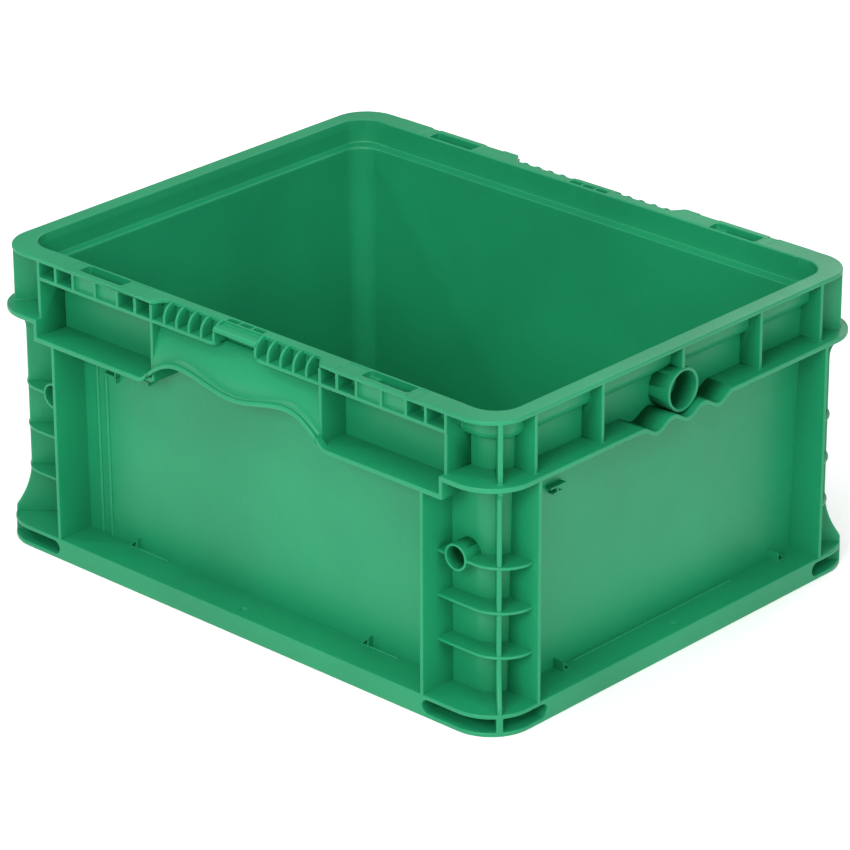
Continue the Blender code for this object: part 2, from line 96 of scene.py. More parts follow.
RIM_R = 22.0
FLANGE_R = 26.0
TUB_R = 14.6
WALL = 2.6
FLOOR_MARGIN = 8.0      # the floor pan ends this far inside the walls
TAPER_X = 3.3
TAPER_Y = 1.4
HALF_WALL = 1.3         # whatever grows out of the tub starts this deep in its wall
CORNER_X = TUB_X - TUB_R
CORNER_Y = TUB_Y - TUB_R
RECESS = (175.5, 134.5, 14.0)   # inside of the mouth: half X, half Y, corner radius
RECESS_WALL = 2.5
LEDGE_TOP = 163.5
LEDGE_LOW = 161.0
MOUTH_LOW = LEDGE_TOP - 1.2
PLATE = 2.5
CELL_LOW = 164.8
CELL_TOP = 167.0
CELL_RIBS = (63.2, 75.6, 89.5, 107.0, 124.4, 138.3, 152.2)
CELL_BACK = 137.5
SHALLOW_CELLS = (88.0, 126.0)   # the rim cells between these stop short, in front of the slot
SHALLOW_BACK = 146.5
SLOT_X = (89.5, 122.7)
SLOT_Y = (136.1, 144.7)
SLOT_R = 1.6
SLOT_STEP_X = 96.0      # the slot is shallow up to here
LOWERED_BANDS = ((74.0, 88.0), (124.3, 130.5))   # of the rim's top, at both ends of the slot
TOP_POCKETS_X = (-13.6, -4.1, 5.4)   # left ends of the little pockets over the hand-hold
TOP_POCKET_WIDE = 8.2
GRIP_EDGE = 141.0       # the rim's top is cut back to here over the hand-hold
GRIP_START = 14.7
GRIP_PITCH = 9.4
GRIP_FIN = 1.7
RIB = 2.2
STEP_X = 153.3          # where the pocket shelf steps up to the shoulder
END_RIBS_Y = (64.7, 116.7)
RING_OUTER = 12.5
RING_BORE = 10.6
RING_ROOT = 170.8
SMALL_RING_OUTER = 7.7
SMALL_RING_BORE = 6.2
SMALL_RING_SEAT = 7.0   # the hole it sits in, in the top shelf of the post
POST_R = 21.0
POST_ROOT = (138.7, 117.5)
POST_SHELVES = (92.5, 66.8, 41.1)
FIN_HALF = 1.4
BASE_SKIN = 2.5
DRAINS = ((0.0, 145.0), (183.0, 0.0))
DRAIN_R = 1.9
HOOK_Z = 118.0          # height of the small card hooks
EDGE = 0.6              # rounding of the moulding's edges
SHARP = 32.0            # edges that turn by more degrees than this are rounded
PAST = 12.0             # how far a quarter reaches past the mid planes before it is clipped
DEEP = 100.0            # well inside both walls, where cutters and clips start
END_DEEP = 160.0        # the same, inside the end walls only
END_ROOT = 165.0
BEYOND_X = 200.0        # outside the crate
BEYOND_Y = 160.0
SEAM_Z = 160.85
SEAM_X = 154.3
SEAM_Y = 119.6
BASE_SEAM_X = 139.2
BASE_SEAM_Y = 111.2
WORK = bpy.data.collections.new("work")
bpy.context.scene.collection.children.link(WORK)

ALONG_Y = Matrix(((1, 0, 0, 0), (0, 0, 1, 0), (0, 1, 0, 0), (0, 0, 0, 1)))
ALONG_X = Matrix(((0, 0, 1, 0), (1, 0, 0, 0), (0, 1, 0, 0), (0, 0, 0, 1)))
PAIR_Y = (("front", 1, -1), ("back", 1, 1))
PAIR_X = (("left", -1, 1), ("right", 1, 1))
CORNERS = (
    ("front_left", -1, -1),
    ("front_right", 1, -1),
    ("back_left", -1, 1),
    ("back_right", 1, 1),
)


# ---------------------------------------------------------------- materials
def node(tree, kind, **values):
    """A new shader node with these properties set."""
    made = tree.nodes.new(kind)
    for name, value in values.items():
        setattr(made, name, value)
    return made


def noise(tree, coords, scale, detail, roughness=0.5):
    """Strength output of a noise texture."""
    made = node(tree, "ShaderNodeTexNoise")
    made.inputs["Scale"].default_value = scale
    made.inputs["Detail"].default_value = detail
    made.inputs["Roughness"].default_value = roughness
    tree.links.new(coords, made.inputs["Vector"])
    return made.outputs["Fac"]


def ramp(tree, source, stops):
    """Colour ramp through stops of (position, colour)."""
    made = node(tree, "ShaderNodeValToRGB")
    points = made.color_ramp.elements
    while len(points) < len(stops):
        points.new(0.5)
    for point, (place, value) in zip(points, stops):
        point.position = place
        point.color = value
    tree.links.new(source, made.inputs["Fac"])
    return made.outputs["Color"]


def grey(value):
    return (value, value, value, 1.0)


def mix(tree, kind, factor, first, second):
    """Mix two colours; each input is a constant or another node's output."""
    made = node(tree, "ShaderNodeMix", data_type="RGBA", blend_type=kind)
    if isinstance(factor, float):
        made.inputs["Factor"].default_value = factor
    else:
        tree.links.new(factor, made.inputs["Factor"])
    for name, value in (("A", first), ("B", second)):
        socket = [s for s in made.inputs if s.name == name and s.type == "RGBA"][0]
        if isinstance(value, tuple):
            socket.default_value = value
        else:
            tree.links.new(value, socket)
    return [s for s in made.outputs if s.type == "RGBA"][0]


def plastic(name, base, rough, lift):
    """Semi-gloss moulded plastic: faint flow mottling, fine grain, handling scuffs."""
    material = bpy.data.materials.new(name)
    material.use_nodes = True
    tree = material.node_tree
    shader = tree.nodes["Principled BSDF"]
    coords = node(tree, "ShaderNodeTexCoord").outputs["Object"]
    clouds = noise(tree, coords, 9.0, 3.0)
    flow = noise(tree, coords, 55.0, 4.0, 0.6)
    dark = tuple(c * 0.90 for c in base) + (1.0,)
    light = tuple(min(1.0, c * 1.08) for c in base) + (1.0,)
    body = ramp(tree, clouds, ((0.35, dark), (0.65, light)))
    streak = node(tree, "ShaderNodeMapping")
    streak.inputs["Scale"].default_value = (1.0, 1.0, 0.16)
    tree.links.new(coords, streak.inputs["Vector"])
    scuffs = noise(tree, streak.outputs["Vector"], 420.0, 5.0, 0.7)
    scuffed = ramp(tree, scuffs, ((0.60, grey(0.0)), (0.74, grey(lift))))
    pale = tuple(min(1.0, c * 1.3 + 0.03) for c in base) + (1.0,)
    body = mix(tree, "MIX", scuffed, body, pale)
    tree.links.new(body, shader.inputs["Base Color"])
    shine = ramp(tree, flow, ((0.3, grey(rough - 0.04)), (0.7, grey(rough + 0.05))))
    tree.links.new(mix(tree, "ADD", 0.25, shine, scuffed), shader.inputs["Roughness"])
    grain = noise(tree, coords, 1500.0, 3.0, 0.6)
    bump = node(tree, "ShaderNodeBump")
    bump.inputs["Strength"].default_value = 0.05
    bump.inputs["Distance"].default_value = 0.0002
    tree.links.new(grain, bump.inputs["Height"])
    ripple = node(tree, "ShaderNodeBump")
    ripple.inputs["Strength"].default_value = 0.10
    ripple.inputs["Distance"].default_value = 0.0015
    tree.links.new(noise(tree, coords, 26.0, 2.0), ripple.inputs["Height"])
    tree.links.new(ripple.outputs["Normal"], bump.inputs["Normal"])
    tree.links.new(bump.outputs["Normal"], shader.inputs["Normal"])
    shader.inputs["IOR"].default_value = 1.5
    shader.inputs["Specular IOR Level"].default_value = 0.3
    return material


GREEN = (0.010, 0.245, 0.105)
# The edge green is far lighter than the body green: a painted highlight for the rounded edge strips,
# standing in for the glints of light along them.
HIGHLIGHT_GREEN = (0.130, 0.500, 0.310)
BODY = plastic("crate_plastic", GREEN, 0.40, 0.25)
# Material of the rounded edge strips: painted highlight, lighter and glossier than the body.
PAINTED_HIGHLIGHT = plastic("crate_plastic_painted_highlight", HIGHLIGHT_GREEN, 0.22, 0.30)


# ---------------------------------------------------------------- solids
def keep_shape(shape):
    """Turn a bmesh into a work object."""
    mesh = bpy.data.meshes.new("work")
    shape.to_mesh(mesh)
    shape.free()
    made = bpy.data.objects.new("work", mesh)
    WORK.objects.link(made)
    return made


def loft(rows):
    """A closed solid through loops with the same number of points each."""
    shape = bmesh.new()
    rings = [[shape.verts.new(p) for p in row] for row in rows]
    for low, high in zip(rings[:-1], rings[1:]):
        for i in range(len(low)):
            j = (i + 1) % len(low)
            shape.faces.new((low[i], low[j], high[j], high[i]))
    shape.faces.new(list(reversed(rings[0])))
    shape.faces.new(rings[-1])
    bmesh.ops.recalc_face_normals(shape, faces=shape.faces)
    return keep_shape(shape)


def prism(outline, low, high, turn=None):
    """An outline pushed from low to high along Z, or along the axis it is turned to."""
    rows = [[(x, y, z) for x, y in outline] for z in (low, high)]
    if turn is not None:
        rows = [[turn @ Vector(p) for p in row] for row in rows]
    return loft(rows)


def box(low, high):
    """A block between two opposite corners."""
    outline = [(low[0], low[1]), (high[0], low[1]), (high[0], high[1]), (low[0], high[1])]
    return prism(outline, low[2], high[2])


def arc(centre, radius, start, end, steps):
    """Points along a circular arc, angles in degrees."""
    angles = [math.radians(start + (end - start) * i / steps) for i in range(steps + 1)]
    return [(centre[0] + radius * math.cos(a), centre[1] + radius * math.sin(a)) for a in angles]


def quarter(half_x, half_y, radius, steps=12):
    """One corner of a rounded rectangle, run past both mid planes."""
    bend = arc((half_x - radius, half_y - radius), radius, 0, 90, steps)
    return [(half_x, -PAST)] + bend + [(-PAST, half_y), (-PAST, -PAST)]


def disc(centre, radius, steps):
    """The points of a full circle."""
    return arc(centre, radius, 0, 360 - 360 / steps, steps - 1)


def combine(target, tool, operation):
    """Boolean of two solids; the target keeps the result and the tool goes."""
    cut = target.modifiers.new("combine", "BOOLEAN")
    cut.operation = operation
    cut.solver = "EXACT"
    cut.object = tool
    depsgraph = bpy.context.evaluated_depsgraph_get()
    result = bpy.data.meshes.new_from_object(target.evaluated_get(depsgraph))
    target.modifiers.remove(cut)
    target.data = result
    bpy.data.objects.remove(tool)
    return target


def union(first, *others):
    for other in others:
        combine(first, other, "UNION")
    return first


def subtract(first, *others):
    for other in others:
        combine(first, other, "DIFFERENCE")
    return first


def buried(point):
    """True inside the tub or its mouth, deeper than half a millimetre under their walls."""
    if point.z < MOUTH_LOW:
        half_x, half_y, radius, _ = tub_point(0.5, point.z)
    else:
        half_x, half_y, radius = (size + RECESS_WALL - 0.5 for size in RECESS)
    past_x = max(abs(point.x) - half_x + radius, 0.0)
    past_y = max(abs(point.y) - half_y + radius, 0.0)
    return math.hypot(past_x, past_y) < radius


def soften(thing, radius=EDGE, steps=2, rooted=False):
    """Round the edges of a solid, and give the rounded strips the lighter edge material, a painted
    highlight.

    A rooted solid grows out of the walls, and its edges inside them stay as they are.
    """
    shape = bmesh.new()
    shape.from_mesh(thing.data)
    bmesh.ops.remove_doubles(shape, verts=shape.verts, dist=0.05)
    bmesh.ops.dissolve_limit(
        shape, angle_limit=math.radians(0.6), verts=shape.verts, edges=shape.edges
    )
    weight = shape.edges.layers.float.new("bevel_weight_edge")
    for edge in shape.edges:
        turned = len(edge.link_faces) == 2 and edge.calc_face_angle() > math.radians(SHARP)
        hidden = rooted and all(buried(v.co) for v in edge.verts)
        edge[weight] = 1.0 if turned and not hidden else 0.0
    shape.to_mesh(thing.data)
    shape.free()
    bevel = thing.modifiers.new("round", "BEVEL")
    bevel.width = radius
    bevel.segments = steps
    bevel.limit_method = "WEIGHT"
    bevel.use_clamp_overlap = False
    # slot 1 is the lighter edge material: a painted highlight on every rounded strip
    bevel.material = 1
    depsgraph = bpy.context.evaluated_depsgraph_get()
    result = bpy.data.meshes.new_from_object(thing.evaluated_get(depsgraph))
    thing.modifiers.clear()
    thing.data = result
    return thing


def onto_diagonal(thing):
    """Move a solid made along X onto the diagonal of the tub's corner."""
    start = Vector((CORNER_X, CORNER_Y, 0))
    thing.data.transform(Matrix.Translation(start) @ Matrix.Rotation(math.radians(45), 4, "Z"))


def clip(thing, cuts):
    """A copy of a solid with everything beyond each cut taken off.

    A cut is (axis, place, side): what lies on that side of the place goes. A cut on
    a mid plane stays open, because the mirrored half is welded on there.
    """
    shape = bmesh.new()
    shape.from_mesh(thing.data)
    for axis, place, side in cuts:
        point = [0.0, 0.0, 0.0]
        normal = [0.0, 0.0, 0.0]
        point[axis] = place
        normal[axis] = side
        everything = list(shape.verts) + list(shape.edges) + list(shape.faces)
        cut = bmesh.ops.bisect_plane(
            shape, geom=everything, dist=0.0005, plane_co=point, plane_no=normal, clear_outer=True
        )
        if place == 0.0:
            continue
        edges = [e for e in cut["geom_cut"] if isinstance(e, bmesh.types.BMEdge) and e.is_boundary]
        for edge in edges:
            edge.smooth = False
        cap = bmesh.ops.triangle_fill(shape, use_beauty=True, use_dissolve=False, edges=edges)
        for piece in cap["geom"]:
            if isinstance(piece, bmesh.types.BMFace):
                piece.smooth = False
    mesh = bpy.data.meshes.new("clip")
    shape.to_mesh(mesh)
    shape.free()
    return mesh


def mesh_of(thing):
    """The whole mesh of a solid."""
    return clip(thing, [])


# ---------------------------------------------------------------- publishing
def mirrored(mesh, flip_x, flip_y):
    """A copy of a mesh, mirrored along the axes whose flip is -1."""
    copy = mesh.copy()
    copy.transform(Matrix.Diagonal((flip_x, flip_y, 1, 1)))
    if flip_x * flip_y < 0:
        copy.flip_normals()
    return copy


def welded(meshes):
    """One mesh of several, joined where their points meet."""
    shape = bmesh.new()
    for mesh in meshes:
        shape.from_mesh(mesh)
    bmesh.ops.remove_doubles(shape, verts=shape.verts, dist=0.003)
    made = bpy.data.meshes.new("weld")
    shape.to_mesh(made)
    shape.free()
    return made


def publish(mesh, name, flip_x=1, flip_y=1, stands_for_node=True):
    """Put a mirrored copy, in metres, in the place of the CAD node of that name.

    Points that rounding left outside the CAD box are moved back onto it.
    """
    mesh = mirrored(mesh, flip_x, flip_y)
    for vertex in mesh.vertices:
        vertex.co.x = max(-OUT_X, min(OUT_X, vertex.co.x))
        vertex.co.y = max(-OUT_Y, min(OUT_Y, vertex.co.y))
        vertex.co.z = max(0.0, min(TOP, vertex.co.z))
    mesh.transform(Matrix.Diagonal((1 / MM, 1 / MM, 1 / MM, 1)))
    mesh.name = name + "_moulded"
    mesh.materials.clear()
    mesh.materials.append(BODY)
    # the second slot is the lighter edge material, a painted highlight on the rounded strips
    mesh.materials.append(PAINTED_HIGHLIGHT)
    mesh.shade_smooth()
    sharp = mesh.attributes.get("sharp_edge")
    made = bpy.data.objects.new(name + "_moulded", mesh)
    bpy.context.scene.collection.objects.link(made)
    weigh = made.modifiers.new("normals", "WEIGHTED_NORMAL")
    weigh.keep_sharp = sharp is not None
    weigh.weight = 60
    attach(made, "root")
    if stands_for_node:
        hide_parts(name)


def publish_set(mesh, name, places):
    """Publish at each place; a pair is first made whole across its mid plane."""
    if places is PAIR_Y:
        mesh = welded([mesh, mirrored(mesh, -1, 1)])
    if places is PAIR_X:
        mesh = welded([mesh, mirrored(mesh, 1, -1)])
    for place, flip_x, flip_y in places:
        publish(mesh, name + "_" + place, flip_x, flip_y)


# ---------------------------------------------------------------- tub and rim sweep
def tub_half(z):
    """Half the tub's outer length and width at a height: the walls taper downwards."""
    share = (TUB_TOP - z) / (TUB_TOP - FLOOR_TOP)
    return TUB_X - TAPER_X * share, TUB_Y - TAPER_Y * share


def tub_point(inset, z):
    """A point of the swept section on the tub wall: half X, half Y, corner radius, z."""
    half_x, half_y = tub_half(z)
    return (half_x - inset, half_y - inset, max(TUB_R - inset, 3.0), z)


def filleted(points, radii, steps=3):
    """Round each corner of a closed section; the points carry all four numbers along."""
    made = []
    count = len(points)
    for i, radius in enumerate(radii):
        here = Vector(points[i])
        if radius == 0:
            made.append(here)
            continue
        back = Vector(points[i - 1]) - here
        ahead = Vector(points[(i + 1) % count]) - here
        start = here + back * min(0.45, radius / math.hypot(back[1], back[3]))
        end = here + ahead * min(0.45, radius / math.hypot(ahead[1], ahead[3]))
        for step in range(steps + 1):
            t = step / steps
            bent = start * (1 - t) ** 2 + here * (2 * t * (1 - t)) + end * t ** 2
            blend = start.lerp(end, t)
            made.append(bent * 0.83 + blend * 0.17)
    return made


def sweep(section, steps=12):
    """A rounded section swept round the quarter; open at both mid planes."""
    shape = bmesh.new()
    rings = []
    for half_x, half_y, radius, z in section:
        bend = arc((half_x - radius, half_y - radius), radius, 0, 90, steps)
        path = [(half_x, 0.0)] + bend + [(0.0, half_y)]
        rings.append([shape.verts.new((x, y, z)) for x, y in path])
    for i, ring in enumerate(rings):
        after = rings[(i + 1) % len(rings)]
        for j in range(len(ring) - 1):
            shape.faces.new((ring[j], ring[j + 1], after[j + 1], after[j]))
    bmesh.ops.recalc_face_normals(shape, faces=shape.faces)
    return keep_shape(shape)


def rim_section_points():
    """The stepped mouth and the top plate, from the inner ledge round to the outer wall."""
    rx, ry, rr = RECESS
    wall = RECESS_WALL
    inner = (TUB_X - WALL, TUB_Y - WALL, TUB_R - WALL)
    return [
        ((*inner, LEDGE_TOP), 1.2),
        ((rx, ry, rr, LEDGE_TOP), 1.0),
        ((rx, ry, rr, TOP - 5.0), 1.2),
        ((rx + 0.8, ry + 0.4, rr + 2.4, TOP), 0.8),
        ((RIM_X, RIM_Y, RIM_R, TOP), 0.9),
        ((RIM_X, RIM_Y, RIM_R, TOP - PLATE), 0.6),
        ((rx + wall, ry + wall, rr + wall, TOP - PLATE), 1.0),
        ((rx + wall, ry + wall, rr + wall, LEDGE_TOP + 2.3), 0.6),
        ((rx + 1.1, ry + 1.1, rr + 1.1, LEDGE_TOP - 0.9), 0.8),
        ((TUB_X, TUB_Y, TUB_R, LEDGE_LOW - 0.8), 1.2),
    ]


def make_sweep():
    """Tub walls, mouth and rim in one sweep, clipped apart at the seams."""
    points = [
        (tub_point(0.0, FLOOR_LOW), 1.5),
        (tub_point(FLOOR_MARGIN, FLOOR_LOW), 0),
        (tub_point(FLOOR_MARGIN, FLOOR_TOP), 0),
        (tub_point(WALL, FLOOR_TOP), 4.0),
    ] + rim_section_points()
    section = filleted([p for p, _ in points], [r for _, r in points])
    tub = sweep(section)
    below = (2, SEAM_Z, 1)
    above = (2, SEAM_Z, -1)
    publish_set(clip(tub, [(0, CORNER_X, 1), below]), "side_wall", PAIR_Y)
    publish_set(clip(tub, [(1, CORNER_Y, 1), (0, DEEP, -1), below]), "end_wall", PAIR_X)
    corner = clip(tub, [(0, CORNER_X, -1), (1, CORNER_Y, -1), below])
    publish_set(corner, "corner_wall", CORNERS)
    publish_set(clip(tub, [(1, SEAM_Y, 1), (0, DEEP, -1), above]), "rim", PAIR_X)
    corner = clip(tub, [(0, SEAM_X, -1), (1, SEAM_Y, -1), above])
    publish_set(corner, "rim_corner", CORNERS)


def make_floor():
    """The flat pan inside the walls' lower curve."""
    rows = []
    for z in (FLOOR_LOW, FLOOR_TOP):
        half_x, half_y, radius, _ = tub_point(FLOOR_MARGIN, z)
        bend = arc((half_x - radius, half_y - radius), radius, 0, 90, 12)
        loop = bend + [(-x, y) for x, y in reversed(bend)]
        loop += [(-x, -y) for x, y in bend] + [(x, -y) for x, y in reversed(bend)]
        rows.append([(x, y, z) for x, y in loop])
    floor = loft(rows)
    shape = bmesh.new()
    shape.from_mesh(floor.data)
    for edge in shape.edges:
        edge.smooth = False
    shape.to_mesh(floor.data)
    shape.free()
    publish(floor.data, "floor_pan")


# ---------------------------------------------------------------- long rim
def slot_cutter():
    """Top slot with rounded corners in plan."""
    outline = []
    left, right = SLOT_X
    near, far = SLOT_Y
    corners = ((right, far, 1, 1), (left, far, -1, 1), (left, near, -1, -1), (right, near, 1, -1))
    for turn, (x, y, sx, sy) in enumerate(corners):
        outline += arc((x - sx * SLOT_R, y - sy * SLOT_R), SLOT_R, 90 * turn, 90 * turn + 90, 4)
    return prism(outline, CELL_TOP, TOP + 1.0)


def make_long_rim():
    """Cell row, top slot, cut-back over the hand-hold and the little top pockets."""
    low = 150.0
    lip_r = 0.9
    section = [(p[1], p[3]) for p, _ in rim_section_points()]
    lip = arc((RECESS[1] + lip_r, TOP - lip_r), lip_r, 180, 90, 4)
    section = section[:3] + lip + section[4:]
    section += [(tub_half(low)[1], low), (tub_half(low)[1] - WALL, low)]
    rim = prism(section, -PAST, 166.0, ALONG_X)
    row_end = CELL_RIBS[-1] + 1.0
    union(rim, box((-PAST, CELL_BACK - 0.8, CELL_LOW), (row_end, RIM_Y, TOP - 2.0)))
    plate_low = TOP - PLATE
    for left, right in zip(CELL_RIBS[:-1], CELL_RIBS[1:]):
        shallow = SHALLOW_CELLS[0] < left and right < SHALLOW_CELLS[1]
        back = SHALLOW_BACK if shallow else CELL_BACK
        subtract(rim, box((left + 1.0, back, CELL_TOP), (right - 1.0, RIM_Y + 1.0, plate_low)))
    first = CELL_RIBS[0] - 1.0
    subtract(rim, box((-PAST - 1, CELL_BACK, CELL_LOW - 1.0), (first, RIM_Y + 1.0, plate_low)))
    step = [(-PAST - 1, GRIP_EDGE)]
    bend_start = 56.5
    bend_end = first + RIB
    for i in range(9):
        t = i / 8
        ease = t * t * (3 - 2 * t)
        x = bend_start + (bend_end - bend_start) * t
        step.append((x, GRIP_EDGE + (RIM_Y + 0.2 - GRIP_EDGE) * ease))
    step += [(bend_end, RIM_Y + 1.0), (-PAST - 1, RIM_Y + 1.0)]
    subtract(rim, prism(step, plate_low - 0.01, TOP + 1.0))
    plate = [(CELL_BACK - 1.0, TOP - 4.4), (RIM_Y - 1.5, TOP - 4.4), (RIM_Y - 0.1, TOP - 4.9)]
    plate += arc((RIM_Y - 2.6, TOP - 4.4), 2.5, 0, 90, 6) + [(CELL_BACK - 1.0, TOP - 1.9)]
    union(rim, prism(plate, -PAST, 16.0, ALONG_X))
    union(rim, box((-PAST, 136.0, TOP - 6.5), (15.8, GRIP_EDGE, TOP - 2.2)))
    near = SLOT_Y[0] + 0.2
    for left, right in LOWERED_BANDS:
        subtract(rim, box((left, near, TOP - 0.5), (right, RIM_Y + 1.0, TOP + 1.0)))
    subtract(rim, slot_cutter())
    filler_low = (88.9, SLOT_Y[0] - 0.5, CELL_TOP - 1.0)
    union(rim, box(filler_low, (SLOT_STEP_X, SLOT_Y[1] + 0.5, TOP - 3.5)))
    for left in TOP_POCKETS_X:
        subtract(rim, box((left, 136.3, TOP - 4.4), (left + TOP_POCKET_WIDE, 140.0, TOP + 1.0)))
    soften(rim, 0.45)
    long_rim = clip(rim, [(0, SEAM_X, 1), (2, SEAM_Z, -1), (0, 0.0, -1)])
    publish_set(long_rim, "rim", PAIR_Y)


# ---------------------------------------------------------------- hand-hold
def scoop_y(z):
    """The hand-hold's rounded face leans in as it rises."""
    share = max(0.0, (z - 137.5) / 30.5)
    return RIM_Y - 0.1 - 11.2 * share ** 2.2


def lip_height(x):
    """Height of the hand-hold's wavy lower lip: a hump beside the middle, then a fall."""
    share = abs(x) / CELL_RIBS[0]
    hump = 0.5 - 0.5 * math.cos(2 * math.pi * min(share / 1.30, 1.0))
    fall = max(0.0, share - 0.65) ** 2 * 55.0
    return 141.0 + 6.5 * hump - fall


def hold_station(x):
    """Section (Y, Z) of the hand-hold at one place: lip below, rounded face above."""
    z = lip_height(x)
    outer = OUT_Y - 0.05
    points = [(outer - 6.5, z - SHEET), (outer - 0.8, z - SHEET), (outer - 0.2, z - SHEET + 0.3)]
    points += [(outer, z - SHEET + 0.9), (outer, z - 0.9), (outer - 0.2, z - 0.3), (outer - 0.8, z)]
    points += [(outer - 1.7, z), (outer - 2.2, z - 0.7), (outer - 2.9, z - 0.8), (outer - 3.4, z + 0.1)]
    top = CELL_LOW + 0.6
    steps = 12
    face = [z + 0.8 + (top - z - 0.8) * i / steps for i in range(steps + 1)]
    points += [(scoop_y(h), h) for h in face]
    points += [(scoop_y(h) - 2.5, h) for h in reversed(face)]
    return [(x, y, h) for y, h in points]


def make_hand_hold():
    """Lip and rounded face, with an end rib and a roof that grow out of the wall."""
    end = CELL_RIBS[0] + 0.9
    steps = 30
    rows = [hold_station(-PAST + (end + PAST) * i / steps) for i in range(steps + 1)]
    face = loft(rows)
    # the lip's outer faces take the lighter edge material: a painted highlight along the lip
    for polygon in face.data.polygons:
        polygon.material_index = 1 if polygon.center.y > OUT_Y - 0.9 else 0
    hold = clip(face, [(0, 0.0, -1)])
    rib_low = (CELL_RIBS[0] - RIB / 2, 110.0, SHELF_LOW + 1.0)
    rib = box(rib_low, (CELL_RIBS[0] + RIB / 2, RIM_Y - 0.1, CELL_LOW + 1))
    subtract(rib, tub_core())
    roof = box((-PAST, 136.5, CELL_LOW - 2.2), (end, GRIP_EDGE - 2.0, CELL_LOW + 0.5))
    parts = [hold, mesh_of(soften(rib, rooted=True)), clip(soften(roof), [(0, 0.0, -1)])]
    publish_set(welded(parts), "hand_hold", PAIR_Y)


def make_grip():
    """Foot plate, back plate and bull-nosed fins of one finger grip."""
    inner = CELL_BACK + 0.2
    start = GRIP_START
    end = CELL_RIBS[0] - 0.5
    face = RIM_Y - 0.1
    turn = 4.2
    foot = [(start + 1.0, CELL_BACK), (end, CELL_BACK), (end, face), (start + turn, face)]
    foot += arc((start + turn, face - turn), turn, 90, 180, 6)[1:] + [(start, CELL_BACK + 0.5)]
    parts = [soften(prism(foot, CELL_LOW, CELL_TOP), 0.8, 3)]
    parts.append(soften(box((start, inner - 0.1, CELL_LOW + 0.5), (end, inner + 1.4, TOP - 1.0)), 0.3))
    radius = RIM_Y - GRIP_EDGE
    crown = TOP - 0.4
    bend = arc((GRIP_EDGE - 0.4, crown - radius), radius + 0.3, 4, 92, 10)
    for i in range(5):
        left = start + GRIP_PITCH * i
        if i == 0:
            side = [(inner, CELL_LOW + 0.2)]
            side += arc((face - turn, CELL_LOW + turn), turn, 272, 360, 6)
        else:
            side = [(inner, CELL_TOP - 1.0), (face, CELL_TOP - 1.0)]
        side += bend + [(inner, crown)]
        parts.append(soften(prism(side, left, left + GRIP_FIN, ALONG_X), 0.7, 3))
    publish_set(welded([mesh_of(p) for p in parts]), "finger_grip", CORNERS)


# ---------------------------------------------------------------- shelf, shoulder, end flange
def tub_core():
    """The inside of tub and mouth up to the middle of their walls, to trim what grows out."""
    rows = []
    for z in (-1.0, MOUTH_LOW):
        half_x, half_y, radius, _ = tub_point(HALF_WALL, z)
        rows.append([(x, y, z) for x, y in quarter(half_x, half_y, radius)])
    mouth = quarter(*(size + HALF_WALL for size in RECESS))
    for z in (MOUTH_LOW, TOP + 2.0):
        rows.append([(x, y, z) for x, y in mouth])
    return loft(rows)


def scallop(y):
    """How far the end flange dips below its ring boss: a wave of three troughs."""
    wave = 25.2
    if abs(y) >= 1.5 * wave:
        return 0.0
    return 2.5 * (1 + math.cos(2 * math.pi * y / wave))


